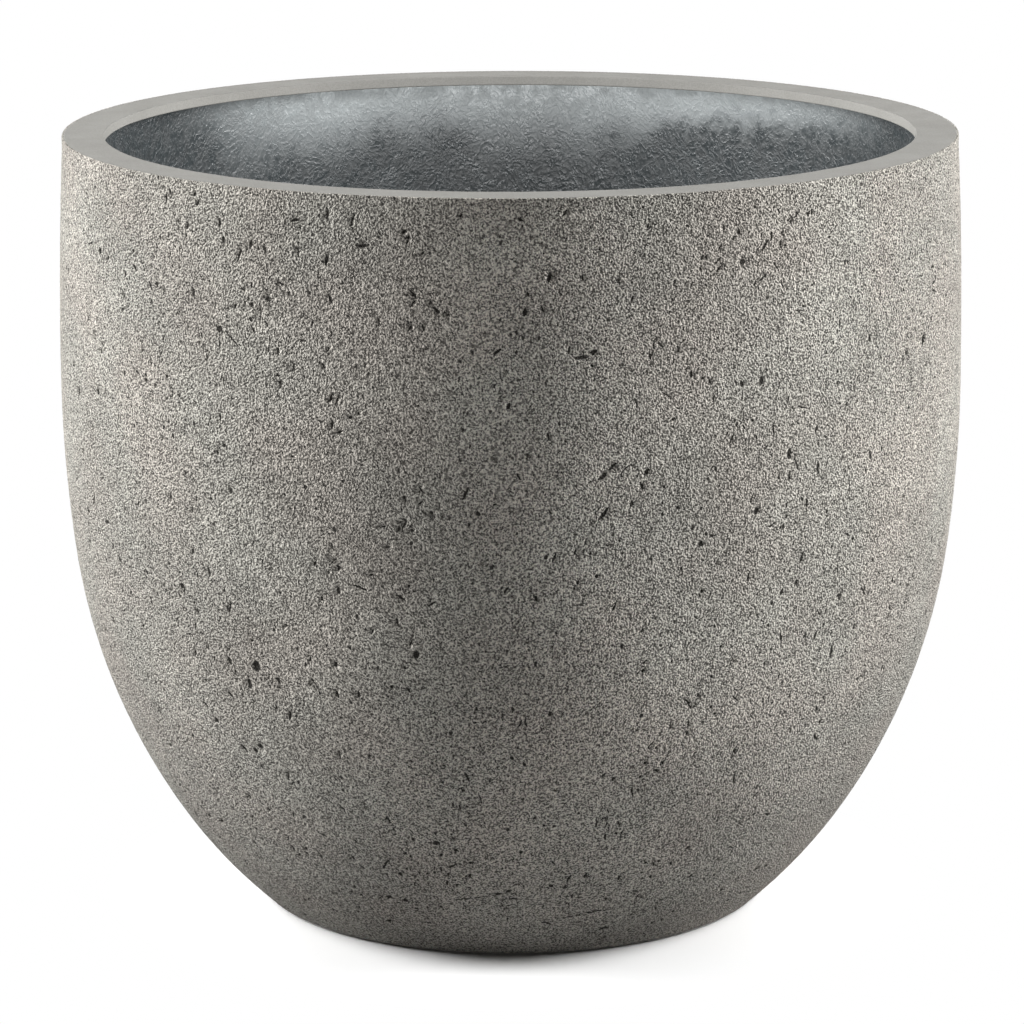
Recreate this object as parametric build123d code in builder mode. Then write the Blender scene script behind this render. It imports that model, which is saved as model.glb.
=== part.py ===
from build123d import *
from math import asin, degrees
import os

# Egg-shaped floor planter of cast fibre clay, in millimetres.
# The pot stands on the XY plane with its axis on +Z and its mouth upwards.
# Its wall is a bonded build-up: a clay skin, a glass-fibre layer and a waterproof lining.

# Outline of the clay skin: tangent arcs above and below the belly, its widest level.
# Heights are above the underside of the pot, and a lean is the wall's angle off upright.
pot_height = 480.0
belly_radius = 279.4
belly_height = 326.4
shoulder_curve = 2824.0
flank_curve = 804.0
flank_lean = 7.45
haunch_curve = 379.0
haunch_lean = 34.55
heel_curve = 302.0
base_edge_round = 1.5
rim_edge_round = 0.6

# Wall and floor
skin_thickness = 9.0
skin_floor = 14.0
fibre_thickness = 3.0
lining_thickness = 2.0

# Smooth cast lip that caps the wall and overhangs the inside
lip_width = 26.1
lip_thickness = 6.3
lip_edge_round = 0.8
lip_margin = 1.2

# Drain sleeve through the floor
sleeve_bore_radius = 12.0
sleeve_wall = 2.0
sleeve_flange_radius = 22.0
sleeve_flange_thickness = 2.5
sleeve_flange_round = 1.0
sleeve_end_gap = 1.0

# Rubber plug that closes the sleeve from inside
plug_clearance = 0.3
plug_taper = 1.0
plug_end_gap = 2.0
plug_cap_radius = 19.0
plug_cap_thickness = 5.0
plug_cap_round = 2.0
grip_length = 24.0
grip_width = 6.0
grip_height = 9.0
grip_round = 1.5

# Rubber pads let into the underside, set back from its edge
pad_count = 4
pad_set_back = 28.7
pad_first_angle = 45.0
pad_radius = 18.0
pad_thickness = 3.0
pad_seat_depth = 1.0
pad_edge_chamfer = 0.5

# Levels above the ground that follow from the sizes
base_level = pad_thickness - pad_seat_depth
rim_level = base_level + pot_height
seat_level = rim_level - lip_thickness
skin_floor_level = base_level + skin_floor
fibre_floor_level = skin_floor_level + fibre_thickness
lining_floor_level = fibre_floor_level + lining_thickness
flange_level = lining_floor_level + sleeve_flange_thickness
cap_level = flange_level + plug_cap_thickness

# Radii and insets that follow from the sizes
fibre_inset = skin_thickness + fibre_thickness
lining_inset = fibre_inset + lining_thickness
sleeve_radius = sleeve_bore_radius + sleeve_wall
stem_radius = sleeve_bore_radius - plug_clearance


def leaning(lean):
    """Outward direction, as radius and height, of a wall that leans by this many degrees."""
    return Vector(1, 0).rotate(Axis.Z, -lean)


# Ends of the outline, where x is the radius and y the height
belly = Vector(belly_radius, base_level + belly_height)
shoulder_centre = belly - leaning(0) * shoulder_curve
shoulder_lean = degrees(asin((rim_level - shoulder_centre.Y) / shoulder_curve))
rim = shoulder_centre + leaning(-shoulder_lean) * shoulder_curve
haunch_centre = belly - leaning(0) * flank_curve + leaning(flank_lean) * (flank_curve - haunch_curve)
heel_centre = haunch_centre + leaning(haunch_lean) * (haunch_curve - heel_curve)
heel_lean = degrees(asin((heel_centre.Y - base_level) / heel_curve))
heel = heel_centre + leaning(heel_lean) * heel_curve

# What is set out from those ends
lip_opening_radius = rim.X - lip_width
pad_circle_radius = heel.X - pad_set_back - pad_radius


def pot_half_section(inset, low, high):
    """Half section of the pot, its wall drawn in by inset, from height low to height high.

    Each arc keeps its centre at every inset, and its radius is less by the inset.
    """
    start = belly - leaning(0) * inset
    above = 2 * rim_level
    with BuildLine() as outline:
        shoulder = JernArc(start, (0, 1), shoulder_curve - inset, shoulder_lean)
        flank = JernArc(start, (0, -1), flank_curve - inset, -flank_lean)
        haunch = JernArc(flank @ 1, flank % 1, haunch_curve - inset, flank_lean - haunch_lean)
        heel_arc = JernArc(haunch @ 1, haunch % 1, heel_curve - inset, haunch_lean - heel_lean)
        top = shoulder @ 1
        foot = heel_arc @ 1
        Polyline(foot, (0, foot.Y), (0, above), (top.X, above), top)
    make_face(outline.edges())
    with Locations((0, low)):
        Rectangle(2 * belly_radius, high - low, align=(Align.MIN, Align.MIN), mode=Mode.INTERSECT)


# Clay skin: the wall and floor that show, with the seat of the lip and the seats of the pads
with BuildPart() as outer_shell:
    with BuildSketch(Plane.XZ):
        pot_half_section(0, base_level, rim_level)
    revolve(axis=Axis.Z)
    base_edge = outer_shell.edges().filter_by(GeomType.CIRCLE).sort_by(Axis.Z)[0]
    rim_edge = outer_shell.edges().filter_by(GeomType.CIRCLE).sort_by(Axis.Z)[-1]
    fillet(base_edge, base_edge_round)
    fillet(rim_edge, rim_edge_round)
    with BuildSketch(Plane.XZ):
        pot_half_section(skin_thickness, skin_floor_level, rim_level)
    revolve(axis=Axis.Z, mode=Mode.SUBTRACT)
    with BuildSketch(Plane.XZ):
        pot_half_section(lip_margin, seat_level, rim_level)
    revolve(axis=Axis.Z, mode=Mode.SUBTRACT)
    with BuildSketch(Plane.XY.offset(base_level)):
        Circle(sleeve_radius)
    extrude(amount=skin_floor, mode=Mode.SUBTRACT)
    with BuildSketch(Plane.XY.offset(base_level)):
        with PolarLocations(pad_circle_radius, pad_count, start_angle=pad_first_angle):
            Circle(pad_radius)
    extrude(amount=pad_seat_depth, mode=Mode.SUBTRACT)

# Glass-fibre mat laminated to the inside of the skin
with BuildPart() as fibre_layer:
    with BuildSketch(Plane.XZ):
        pot_half_section(skin_thickness, skin_floor_level, seat_level)
    revolve(axis=Axis.Z)
    with BuildSketch(Plane.XZ):
        pot_half_section(fibre_inset, fibre_floor_level, seat_level)
    revolve(axis=Axis.Z, mode=Mode.SUBTRACT)
    with BuildSketch(Plane.XY.offset(skin_floor_level)):
        Circle(sleeve_radius)
    extrude(amount=fibre_thickness, mode=Mode.SUBTRACT)

# Dark waterproof coat over the fibre, the inside that shows
with BuildPart() as inner_lining:
    with BuildSketch(Plane.XZ):
        pot_half_section(fibre_inset, fibre_floor_level, seat_level)
    revolve(axis=Axis.Z)
    with BuildSketch(Plane.XZ):
        pot_half_section(lining_inset, lining_floor_level, seat_level)
    revolve(axis=Axis.Z, mode=Mode.SUBTRACT)
    with BuildSketch(Plane.XY.offset(fibre_floor_level)):
        Circle(sleeve_radius)
    extrude(amount=lining_thickness, mode=Mode.SUBTRACT)

# Lip: a flat ring let into the top of the skin, over the ends of the two inner layers
with BuildPart() as rim_ring:
    with BuildSketch(Plane.XZ):
        pot_half_section(lip_margin, seat_level, rim_level)
    revolve(axis=Axis.Z)
    with BuildSketch(Plane.XY.offset(seat_level)):
        Circle(lip_opening_radius)
    extrude(amount=lip_thickness, mode=Mode.SUBTRACT)
    mouth_face = rim_ring.faces().filter_by(GeomType.CYLINDER)[0]
    fillet(mouth_face.edges().filter_by(GeomType.CIRCLE), lip_edge_round)

# Drain sleeve: a tube through the floor with a flange on the lining
with BuildPart() as drain_sleeve:
    with BuildSketch(Plane.XY.offset(base_level + sleeve_end_gap)):
        Circle(sleeve_radius)
    extrude(amount=flange_level - base_level - sleeve_end_gap)
    with BuildSketch(Plane.XY.offset(lining_floor_level)):
        Circle(sleeve_flange_radius)
    extrude(amount=sleeve_flange_thickness)
    flange_edge = drain_sleeve.edges().filter_by(GeomType.CIRCLE).sort_by(Axis.Z)[-1]
    fillet(flange_edge, sleeve_flange_round)
    with BuildSketch(Plane.XY.offset(base_level + sleeve_end_gap)):
        Circle(sleeve_bore_radius)
    extrude(amount=flange_level, mode=Mode.SUBTRACT)

# Drain plug: a tapered stem under a cap with a finger grip
with BuildPart() as drain_plug:
    with BuildSketch(Plane.XY.offset(base_level + plug_end_gap)):
        Circle(stem_radius - plug_taper)
    with BuildSketch(Plane.XY.offset(flange_level)):
        Circle(stem_radius)
    loft()
    with BuildSketch(Plane.XY.offset(flange_level)):
        Circle(plug_cap_radius)
    extrude(amount=plug_cap_thickness)
    cap_edge = drain_plug.edges().filter_by(GeomType.CIRCLE).sort_by(Axis.Z)[-1]
    fillet(cap_edge, plug_cap_round)
    with BuildSketch(Plane.XY.offset(cap_level)) as grip_plan:
        Rectangle(grip_length, grip_width)
        fillet(grip_plan.vertices(), grip_round)
    extrude(amount=grip_height)
    grip_edges = drain_plug.faces().sort_by(Axis.Z)[-1].edges()
    fillet(grip_edges, grip_round)

# Feet: four round pads, each in its seat in the underside
foot_pads = []
for number in range(pad_count):
    angle = pad_first_angle + number * 360 / pad_count
    with BuildPart() as foot_pad:
        with BuildSketch(Plane.XY.rotated((0, 0, angle))):
            with Locations((pad_circle_radius, 0)):
                Circle(pad_radius)
        extrude(amount=pad_thickness)
        sole_edge = foot_pad.edges().filter_by(GeomType.CIRCLE).sort_by(Axis.Z)[0]
        chamfer(sole_edge, pad_edge_chamfer)
    foot_pads.append(foot_pad)

# Labels and files, one for each piece
outer_shell.part.label = "outer_shell"
fibre_layer.part.label = "fibre_layer"
inner_lining.part.label = "inner_lining"
rim_ring.part.label = "rim_ring"
drain_sleeve.part.label = "drain_sleeve"
drain_plug.part.label = "drain_plug"
for number, foot_pad in enumerate(foot_pads, start=1):
    foot_pad.part.label = f"foot_pad_{number}"

os.makedirs("parts", exist_ok=True)
export_step(outer_shell.part, "parts/outer_shell.step")
export_step(fibre_layer.part, "parts/fibre_layer.step")
export_step(inner_lining.part, "parts/inner_lining.step")
export_step(rim_ring.part, "parts/rim_ring.step")
export_step(drain_sleeve.part, "parts/drain_sleeve.step")
export_step(drain_plug.part, "parts/drain_plug.step")
for foot_pad in foot_pads:
    export_step(foot_pad.part, f"parts/{foot_pad.part.label}.step")
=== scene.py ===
"""Looks of the egg planter: an etched clay skin, a smooth flat lip and a dark coated inside.

Everything is in metres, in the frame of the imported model, with +Z up along the pot's axis.
An azimuth is an angle round that axis from -Y, the front, towards +X, the right-hand side.
"""
import logging
import math
from dataclasses import dataclass, field
from enum import Enum
from functools import cached_property, lru_cache
from typing import ClassVar

import bpy
import numpy as np
from mathutils import Matrix, Vector


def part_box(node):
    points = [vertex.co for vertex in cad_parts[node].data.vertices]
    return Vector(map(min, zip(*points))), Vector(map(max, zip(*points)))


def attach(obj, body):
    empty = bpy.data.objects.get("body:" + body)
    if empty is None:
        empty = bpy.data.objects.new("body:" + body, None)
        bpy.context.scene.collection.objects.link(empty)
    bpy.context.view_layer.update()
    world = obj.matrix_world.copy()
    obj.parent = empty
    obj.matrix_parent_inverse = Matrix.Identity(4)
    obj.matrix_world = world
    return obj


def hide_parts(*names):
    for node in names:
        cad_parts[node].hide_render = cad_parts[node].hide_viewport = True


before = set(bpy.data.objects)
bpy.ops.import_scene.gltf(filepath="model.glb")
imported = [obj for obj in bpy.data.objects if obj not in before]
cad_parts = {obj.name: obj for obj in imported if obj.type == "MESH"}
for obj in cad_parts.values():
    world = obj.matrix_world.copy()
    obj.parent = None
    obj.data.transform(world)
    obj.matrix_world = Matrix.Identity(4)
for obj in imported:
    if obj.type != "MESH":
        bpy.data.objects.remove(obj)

LOG = logging.getLogger("egg_planter")
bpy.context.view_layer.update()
MM = 0.001
TURN = 2 * math.pi
Colour = tuple[float, float, float]
Place = tuple[float, float, float]


# Outline of the pot

@dataclass(frozen=True)
class Outline:
    """Half outline of the pot: tangent arcs above and below the belly, its widest level.

    A lean is the wall's angle off upright in radians, positive where the wall leans outwards
    as it rises. Drawn in by an inset, each arc keeps its centre and loses the inset in radius.
    """

    base: float
    rim: float
    belly_radius: float
    belly_height: float = 326.4 * MM
    shoulder_curve: float = 2824 * MM
    flank_curve: float = 804 * MM
    flank_lean: float = math.radians(7.45)
    haunch_curve: float = 379 * MM
    haunch_lean: float = math.radians(34.55)
    heel_curve: float = 302 * MM

    @cached_property
    def radii(self) -> np.ndarray:
        """Radii of the shoulder, flank, haunch and heel arcs."""
        return np.array([self.shoulder_curve, self.flank_curve, self.haunch_curve, self.heel_curve])

    @cached_property
    def stops(self) -> np.ndarray:
        """Leans at which one arc hands over to the next."""
        return np.array([0.0, self.flank_lean, self.haunch_lean])

    @cached_property
    def centres(self) -> np.ndarray:
        """Centres of the arcs, each on the line through the centre and the end of the last."""
        belly = np.array([self.belly_radius, self.base + self.belly_height])
        shoulder = belly - outward(0.0) * self.shoulder_curve
        flank = belly - outward(0.0) * self.flank_curve
        haunch = flank + outward(self.flank_lean) * (self.flank_curve - self.haunch_curve)
        heel = haunch + outward(self.haunch_lean) * (self.haunch_curve - self.heel_curve)
        return np.array([shoulder, flank, haunch, heel])

    def points(self, lean: np.ndarray | float, inset: float = 0.0) -> np.ndarray:
        """Radius and height where the wall has each lean: the arc's centre plus its radius outwards."""
        arc = np.searchsorted(self.stops, lean)
        reach = (self.radii[arc] - inset)[..., None]
        return self.centres[arc] + reach * outward(lean)

    def lean_at(self, height: float, inset: float = 0.0) -> float:
        """Finds the wall's lean at a height: the sine of the lean is the drop over the radius.

        Args:
            height: level at which the wall is cut.
            inset: how far the wall is drawn in.

        Returns:
            The lean on the one arc whose span of leans holds it.
        """
        sines = (self.centres[:, 1] - height) / (self.radii - inset)
        leans = np.arcsin(sines.clip(-1, 1))
        low = np.array([-math.pi / 2, *self.stops])
        high = np.array([*self.stops, math.pi / 2])
        fits = (np.abs(sines) <= 1) & (leans >= low - 1e-9) & (leans <= high + 1e-9)
        return float(leans[np.argmax(fits)])

    def wall(self, first: float, last: float, inset: float, step: float) -> np.ndarray:
        """Walks the wall between two leans in even steps of its length.

        Args:
            first: lean at the start.
            last: lean at the end.
            inset: how far the wall is drawn in.
            step: about how far apart the points are.

        Returns:
            Radius and height of each point.
        """
        leans = np.linspace(first, last, 4000)
        along = lengths(self.points(leans, inset))
        count = max(2, round(along[-1] / step) + 1)
        return self.points(np.interp(np.linspace(0, along[-1], count), along, leans), inset)

    def radius_at(self, height: np.ndarray) -> np.ndarray:
        """Radius of the outside at each height, read off a closely walked wall."""
        walk = self.wall(self.lean_at(self.base), self.lean_at(self.rim), 0.0, 1 * MM)
        return np.interp(height, walk[:, 1], walk[:, 0])


def outward(lean: np.ndarray | float) -> np.ndarray:
    """Outward direction, as radius and height, of a wall with this lean: (cos, -sin)."""
    return np.stack([np.cos(lean), -np.sin(lean)], axis=-1)


def lengths(points: np.ndarray) -> np.ndarray:
    """Distance walked from the first point to each point of a polyline."""
    steps = np.linalg.norm(np.diff(points, axis=0), axis=1)
    return np.concatenate([[0.0], np.cumsum(steps)])


def straight(start: tuple[float, float], end: tuple[float, float], step: float) -> np.ndarray:
    """Radius and height of points that walk a straight line in even steps of about this length."""
    count = max(2, round(math.dist(start, end) / step) + 1)
    return np.linspace(start, end, count)


def rounded(centre: np.ndarray, radius: float, first: float, last: float, steps: int = 5) -> np.ndarray:
    """Walks a round: its centre plus its radius at even angles.

    Args:
        centre: radius and height of the round's centre.
        radius: radius of the round.
        first: angle at the start, in degrees up from the outward direction.
        last: angle at the end.
        steps: number of steps.

    Returns:
        Radius and height of each point.
    """
    angle = np.radians(np.linspace(first, last, steps + 1))
    return np.asarray(centre) + radius * np.stack([np.cos(angle), np.sin(angle)], axis=-1)


# Turned pieces

@dataclass(frozen=True)
class Section:
    """Closed outline of a turned piece, counter-clockwise as radius and height.

    Attributes:
        points: radius and height of each point, of which the last joins the first.
        shown: number of points, from the first on, that lie on the side that shows.
    """

    points: np.ndarray
    shown: int

    @classmethod
    def joined(cls, shown: list[np.ndarray], hidden: list[np.ndarray]) -> "Section":
        """Joins stretches that show and then hidden ones, and drops the points that they share."""
        front = np.concatenate([stretch[:-1] for stretch in shown])
        back = np.concatenate([stretch[:-1] for stretch in hidden]) if hidden else front[:0]
        return cls(np.concatenate([front, back]), len(front))

    @cached_property
    def along(self) -> np.ndarray:
        """Distance walked to each point, and at the end the whole way round."""
        return lengths(np.concatenate([self.points, self.points[:1]]))

    @cached_property
    def outwards(self) -> np.ndarray:
        """Unit normals: the chord from the last point to the next, turned from (r, z) to (z, -r)."""
        chord = np.roll(self.points, -1, axis=0) - np.roll(self.points, 1, axis=0)
        normal = np.stack([chord[:, 1], -chord[:, 0]], axis=-1)
        return normal / np.linalg.norm(normal, axis=1, keepdims=True)


@dataclass
class Turning:
    """A section carried round the pot's axis, with a relief cut into its surface.

    Attributes:
        section: the closed outline.
        columns: number of steps round the whole pot.
        start: azimuth of the first column in radians.
    """

    section: Section
    columns: int
    start: float = 0.0

    @cached_property
    def azimuths(self) -> np.ndarray:
        """Azimuth of each column, evenly round the axis."""
        return self.start + np.arange(self.columns) * TURN / self.columns

    def surface(self, raised: np.ndarray | None = None) -> np.ndarray:
        """Carries the section round: radius times (sin, -cos) of the azimuth, at its height.

        Args:
            raised: how far each point stands proud along its normal, rows by columns.

        Returns:
            Places, rows by columns by three.
        """
        flat = self.section.points[:, None, :]
        if raised is not None:
            flat = flat + raised[..., None] * self.section.outwards[:, None, :]
        radius, height = np.broadcast_arrays(flat[..., 0], flat[..., 1])
        if radius.shape[1] == 1:
            radius = np.repeat(radius, self.columns, axis=1)
            height = np.repeat(height, self.columns, axis=1)
        return np.stack([radius * np.sin(self.azimuths), -radius * np.cos(self.azimuths), height], axis=-1)


def surface_normals(places: np.ndarray) -> np.ndarray:
    """Unit normals of a surface closed both ways: the product of its two central differences."""
    up = np.roll(places, -1, axis=0) - np.roll(places, 1, axis=0)
    across = np.roll(places, -1, axis=1) - np.roll(places, 1, axis=1)
    normal = np.cross(across, up)
    return normal / np.linalg.norm(normal, axis=-1, keepdims=True).clip(1e-12)


@dataclass
class Patch:
    """Arrays of one mesh before it is made.

    Attributes:
        places: rows by columns by three.
        normals: unit normals in the same layout.
        shown: number of rows on the side that shows.
        along: distance walked to each row, and at the end the whole way round.
        whole: whether the columns close on themselves.
        extras: values for each point, by attribute name.
    """

    places: np.ndarray
    normals: np.ndarray
    shown: int
    along: np.ndarray
    whole: bool
    extras: dict[str, np.ndarray] = field(default_factory=dict)

    hidden_share = 0.05
    cap_share = 0.02

    def made(self, name: str) -> bpy.types.Object:
        """Makes the mesh: a grid of four-cornered faces, and the cut ends of a sector.

        Row k and column j give the face (k, j), (k, j+1), (k+1, j+1), (k+1, j), whose normal is
        the product of its steps across and up, and so points out of the solid.

        Args:
            name: name of the object and its mesh.

        Returns:
            The object, at the origin.
        """
        rows, columns = self.places.shape[:2]
        number = np.arange(rows * columns).reshape(rows, columns)
        right = np.roll(number, -1, axis=1) if self.whole else number[:, 1:]
        left = number if self.whole else number[:, :-1]
        above_left, above_right = np.roll(left, -1, axis=0), np.roll(right, -1, axis=0)
        quads = np.stack([left, right, above_right, above_left], axis=-1).reshape(-1, 4)
        triangles = np.zeros((0, 3), int) if self.whole else self.cut_ends(number)
        mesh = bpy.data.meshes.new(name)
        self.fill(mesh, quads, triangles)
        self.lay_out(mesh, left.shape[1], triangles)
        for key, value in self.extras.items():
            layer = mesh.attributes.new(key, "FLOAT_VECTOR", "POINT")
            layer.data.foreach_set("vector", value.astype(np.float32).ravel())
        mesh.normals_split_custom_set_from_vertices(self.normals.reshape(-1, 3))
        made = bpy.data.objects.new(name, mesh)
        bpy.context.scene.collection.objects.link(made)
        return made

    def partners(self, rows: int) -> np.ndarray:
        """For each row that shows, the hidden row behind it: an even walk back along the hidden ones."""
        behind = rows - self.shown
        share = np.arange(self.shown + 1) / self.shown
        return (rows - 1 - np.floor(share * (behind - 1) + 1e-9)).astype(int)

    def cut_ends(self, number: np.ndarray) -> np.ndarray:
        """Closes both ends of a sector: triangles zip the rows that show to the hidden rows behind.

        Args:
            number: number of the point in each row and column.

        Returns:
            Corners of the triangles, the first end's before the last end's.
        """
        rows = number.shape[0]
        behind = self.partners(rows)
        row = np.arange(self.shown)
        front = np.stack([row, row + 1, behind[:-1]], axis=-1)
        jump = behind[1:] != behind[:-1]
        back = np.stack([row + 1, behind[1:], behind[:-1]], axis=-1)[jump]
        corners = np.concatenate([front, back])
        corners = corners[(corners[:, 0] != corners[:, 1]) & (corners[:, 1] != corners[:, 2])]
        first = number[:, 0][corners]
        last = number[:, -1][corners][:, ::-1]
        return np.concatenate([first, last])

    def fill(self, mesh: bpy.types.Mesh, quads: np.ndarray, triangles: np.ndarray) -> None:
        """Puts points and faces into an empty mesh as whole arrays.

        Args:
            mesh: the mesh.
            quads: corners of the four-cornered faces.
            triangles: corners of the triangles.
        """
        sizes = np.concatenate([np.full(len(quads), 4), np.full(len(triangles), 3)])
        starts = np.concatenate([[0], np.cumsum(sizes)[:-1]])
        mesh.vertices.add(self.places.shape[0] * self.places.shape[1])
        mesh.vertices.foreach_set("co", self.places.astype(np.float32).ravel())
        mesh.loops.add(int(sizes.sum()))
        corners = np.concatenate([quads.ravel(), triangles.ravel()])
        mesh.loops.foreach_set("vertex_index", corners.astype(np.int32))
        mesh.polygons.add(len(sizes))
        mesh.polygons.foreach_set("loop_start", starts.astype(np.int32))
        mesh.update(calc_edges=True)
        mesh.polygons.foreach_set("use_smooth", np.ones(len(sizes), bool))

    def lay_out(self, mesh: bpy.types.Mesh, steps: int, triangles: np.ndarray) -> None:
        """Lays the surface out flat for baking: across by column, up by the distance walked.

        The rows that show fill most of the height, the hidden ones a strip above them, and the
        cut ends two strips at the right.

        Args:
            mesh: the mesh with its faces in place.
            steps: number of faces in a row.
            triangles: corners of the cut ends.
        """
        rows, columns = self.places.shape[:2]
        seen = self.along[self.shown]
        show_top = 1 - self.hidden_share if self.shown < rows else 1.0
        up = np.where(
            self.along <= seen,
            self.along / seen * show_top,
            show_top + (self.along - seen) / max(self.along[-1] - seen, 1e-9) * self.hidden_share,
        )
        across_end = 1.0 if self.whole else 1 - 2 * self.cap_share
        across = np.linspace(0, across_end, steps + 1)
        low, high = np.meshgrid(up[:-1], across[:-1], indexing="ij")
        top, far = np.meshgrid(up[1:], across[1:], indexing="ij")
        corner_u = np.stack([high, far, far, high], axis=-1)
        corner_v = np.stack([low, low, top, top], axis=-1)
        flat = np.stack([corner_u, corner_v], axis=-1).reshape(-1, 2)
        if len(triangles):
            row = triangles // columns
            last_end = (np.arange(len(triangles)) >= len(triangles) // 2)[:, None]
            partner = self.partners(rows)
            seen_row = np.interp(row, partner[::-1], np.arange(self.shown, -1, -1))
            height = up[np.where(row <= self.shown, row, seen_row.round().astype(int))]
            side = np.where(row <= self.shown, 0.1, 0.9)
            u = across_end + self.cap_share * (side + last_end)
            flat = np.concatenate([flat, np.stack([u, height], axis=-1).reshape(-1, 2)])
        layer = mesh.uv_layers.new(name="OFBake")
        layer.uv.foreach_set("vector", flat.astype(np.float32).ravel())


def cut_panels(name: str, count: int, places: np.ndarray, section: Section,
               extras: dict[str, np.ndarray]) -> list[bpy.types.Object]:
    """Makes a surface in equal sector panels, whose edges match point for point.

    Args:
        name: start of the panels' names.
        count: number of panels.
        places: points of the whole surface, rows by columns by three.
        section: the section that was carried round.
        extras: values for each point, by attribute name.

    Returns:
        The panels in order of azimuth.
    """
    normals = surface_normals(places)
    columns = places.shape[1]
    share = columns // count
    made = []
    for number in range(count):
        cut = np.arange(number * share, (number + 1) * share + 1) % columns
        values = {key: value[:, cut] for key, value in extras.items()}
        patch = Patch(places[:, cut], normals[:, cut], section.shown, section.along, False, values)
        made.append(patch.made(f"{name}_{number + 1}"))
    return made


# Noise

def lattice_noise(places: np.ndarray, cell: float, seed: int) -> np.ndarray:
    """Smooth noise, about -1 to 1, with one bump or hollow to a cell or two.

    Each corner of a cubic lattice has a random gradient. The noise at a point is the product of
    the eight corners' gradients with its offset from them, blended by 6t^5 - 15t^4 + 10t^3.

    Args:
        places: points in the last axis.
        cell: size of a lattice cell.
        seed: number of the pattern.

    Returns:
        The noise at each point.
    """
    random = np.random.default_rng(seed)
    gradients = random.normal(size=(256, 3))
    gradients /= np.linalg.norm(gradients, axis=1, keepdims=True)
    shuffled = random.permutation(256)
    scaled = places / cell + 100.5
    corner = np.floor(scaled).astype(int)
    offset = scaled - corner
    ease = offset ** 3 * (offset * (offset * 6 - 15) + 10)
    total = np.zeros(places.shape[:-1])
    for step in np.ndindex(2, 2, 2):
        at = (corner + step) & 255
        pick = shuffled[(shuffled[(shuffled[at[..., 0]] + at[..., 1]) & 255] + at[..., 2]) & 255]
        dot = (gradients[pick] * (offset - step)).sum(axis=-1)
        weight = np.where(np.array(step) == 1, ease, 1 - ease).prod(axis=-1)
        total += dot * weight
    return total * 1.6


def eased(value: np.ndarray | float, low: float, high: float) -> np.ndarray:
    """Rises smoothly from 0 at low to 1 at high: t squared times (3 - 2t)."""
    t = ((np.asarray(value, float) - low) / (high - low)).clip(0, 1)
    return t * t * (3 - 2 * t)


def worn(places: np.ndarray, layers: tuple[tuple[float, float, int], ...]) -> np.ndarray:
    """Works out how deep a surface is worn, in layers of noise that each only take away.

    Args:
        places: points in the last axis.
        layers: of each layer its mean depth and its cell in millimetres, and its seed.

    Returns:
        Depth at each point, never below 0.
    """
    parts = [depth * MM * (1 + lattice_noise(places, cell * MM, seed)) for depth, cell, seed in layers]
    return sum(parts).clip(0)


# Camera

@dataclass(frozen=True)
class Viewpoint:
    """Camera of the photograph: a long lens, a little above the rim and looking down at the pot."""

    place: Place = (0.4 * MM, -2841.3 * MM, 887.65 * MM)
    look_down: float = math.radians(12.844)
    roll: float = math.radians(-0.1751)
    lens_mm: float = 163.25
    sensor_mm: float = 36.0
    image_width: int = 1024
    nearest: float = 2.3
    furthest: float = 3.1

    @cached_property
    def turned(self) -> Matrix:
        """Rotation of the camera: tipped up from straight down, then rolled about its own axis."""
        tip = Matrix.Rotation(math.pi / 2 - self.look_down, 3, "X")
        return tip @ Matrix.Rotation(self.roll, 3, "Z")

    def placed(self) -> bpy.types.Object:
        """Makes the camera and returns it."""
        data = bpy.data.cameras.new("camera")
        data.lens = self.lens_mm
        data.sensor_width = self.sensor_mm
        data.clip_end = 50
        camera = bpy.data.objects.new("camera", data)
        camera.matrix_world = Matrix.Translation(self.place) @ self.turned.to_4x4()
        bpy.context.scene.collection.objects.link(camera)
        bpy.context.scene.camera = camera
        return camera

    def spot_on_wall(self, across: float, down: float, outline: Outline) -> tuple[float, float]:
        """Finds where a pixel's line of sight first meets the outside of the pot.

        Args:
            across: pixel column in the photograph.
            down: pixel row.
            outline: the pot's outline.

        Returns:
            Azimuth in radians and height.
        """
        reach = self.lens_mm / self.sensor_mm * self.image_width
        middle = self.image_width / 2
        sight = self.turned @ Vector(((across - middle) / reach, (middle - down) / reach, -1))
        steps = np.linspace(self.nearest, self.furthest, 4000)[:, None]
        points = np.array(self.place) + steps * np.array(sight)
        height = points[:, 2]
        inside = np.hypot(points[:, 0], points[:, 1]) < outline.radius_at(height)
        first = points[np.argmax(inside & (height < outline.rim) & (height > outline.base))]
        return math.atan2(first[0], -first[1]), float(first[2])


# Marks in the cast surface

class MarkKind(Enum):
    """Kinds of mark that the casting and the etching leave."""

    PIT = "pit"
    CRACK = "crack"
    HAIRLINE = "hairline"


MARK_DEPTH = {MarkKind.PIT: 1.3 * MM, MarkKind.CRACK: 1.0 * MM, MarkKind.HAIRLINE: 0.4 * MM}
MARK_STRAY = {MarkKind.PIT: 0.5 * MM, MarkKind.CRACK: 0.8 * MM, MarkKind.HAIRLINE: 1.3 * MM}


@dataclass(frozen=True)
class Mark:
    """One mark in the wall.

    Attributes:
        azimuth: place round the pot in radians.
        along: place up the section.
        lean: angle off upright in radians, positive to the right at the top.
        length: half its length.
        width: half its width.
        kind: what kind it is.
        bend: how strongly it curves, as curvature.
    """

    azimuth: float
    along: float
    lean: float
    length: float
    width: float
    kind: MarkKind
    bend: float = 0.0


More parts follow.
